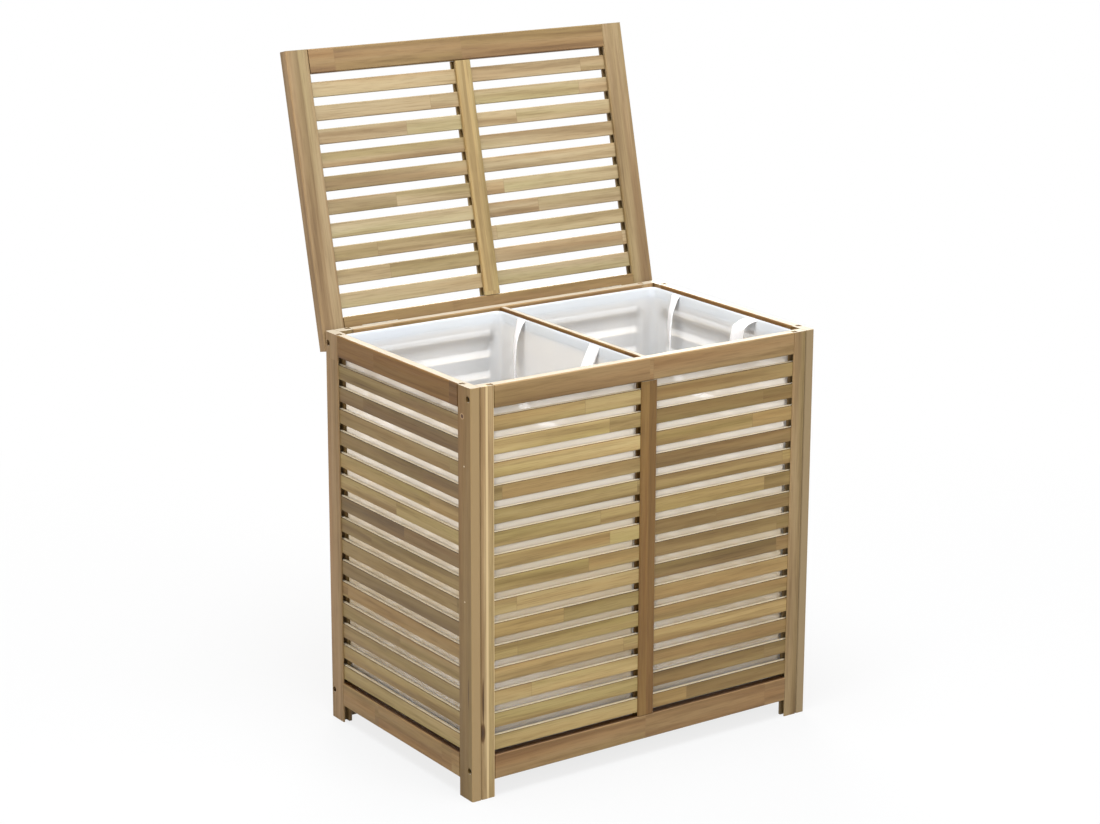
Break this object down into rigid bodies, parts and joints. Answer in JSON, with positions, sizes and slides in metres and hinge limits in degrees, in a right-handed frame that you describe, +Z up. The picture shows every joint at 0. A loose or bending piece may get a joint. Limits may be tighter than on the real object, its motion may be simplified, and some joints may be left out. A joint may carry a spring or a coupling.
{
  "type": "laundry hamper",
  "caption": "Slatted wooden laundry chest on feet, with fabric bags side by side, webbing handles and a hinged slatted lid.",
  "frame": {"origin": "on the floor, below the middle of the hamper with its lid open as in the picture", "axes": "+Z up, +X to the right seen from the front, +Y towards the back, where the hinges are"},
  "size_m": [0.6, 0.509, 0.9967],
  "materials": {
    "frame_wood": "oiled, satin",
    "side_wood": "oiled, satin",
    "slat_wood": "oiled, satin",
    "lid_wood": "oiled, satin",
    "plywood": "sanded, matt",
    "bag_fabric": "woven, matt",
    "webbing": "woven webbing",
    "hinge_steel": "zinc plated",
    "bolt_steel": "blackened"
  },
  "bodies": {
    "root": {"front_left_stile": "frame_wood", "front_right_stile": "frame_wood", "front_bottom_rail": "frame_wood", "front_top_rail": "frame_wood", "front_centre_stile_and_slats": "slat_wood", "back_left_stile": "frame_wood", "back_right_stile": "frame_wood", "back_bottom_rail": "frame_wood", "back_top_rail": "frame_wood", "back_centre_stile_and_slats": "slat_wood", "left_side_front_stile": "side_wood", "left_side_back_stile": "side_wood", "left_side_bottom_rail": "side_wood", "left_side_top_rail": "side_wood", "right_side_front_stile": "side_wood", "right_side_back_stile": "side_wood", "right_side_bottom_rail": "side_wood", "right_side_top_rail": "side_wood", "front_left_lower_bolt": "bolt_steel", "front_left_upper_bolt": "bolt_steel", "front_right_lower_bolt": "bolt_steel", "front_right_upper_bolt": "bolt_steel", "back_left_lower_bolt": "bolt_steel", "back_left_upper_bolt": "bolt_steel", "back_right_lower_bolt": "bolt_steel", "back_right_upper_bolt": "bolt_steel", "front_cleat": "frame_wood", "back_cleat": "frame_wood", "base_panel": "plywood", "divider_rail": "frame_wood", "left_bag": "bag_fabric", "left_bag_inner_handle": "webbing", "left_bag_outer_handle": "webbing", "right_bag": "bag_fabric", "right_bag_inner_handle": "webbing", "right_bag_outer_handle": "webbing", "left_hinge_body_leaf": "hinge_steel", "left_hinge_pin": "hinge_steel", "right_hinge_body_leaf": "hinge_steel", "right_hinge_pin": "hinge_steel"},
    "lid": {"lid_left_stile": "lid_wood", "lid_right_stile": "lid_wood", "lid_rear_rail": "lid_wood", "lid_free_rail": "lid_wood", "lid_centre_stile_and_slats": "lid_wood", "left_hinge_lid_leaf": "hinge_steel", "right_hinge_lid_leaf": "hinge_steel"}
  },
  "joints": [
    {"name": "lid_hinge", "type": "hinge", "parent": "root", "child": "lid", "pos_m": [0, 0.13893, 0.597], "axis": [1, 0, 0], "range_deg": [0, 103.3]}
  ]
}
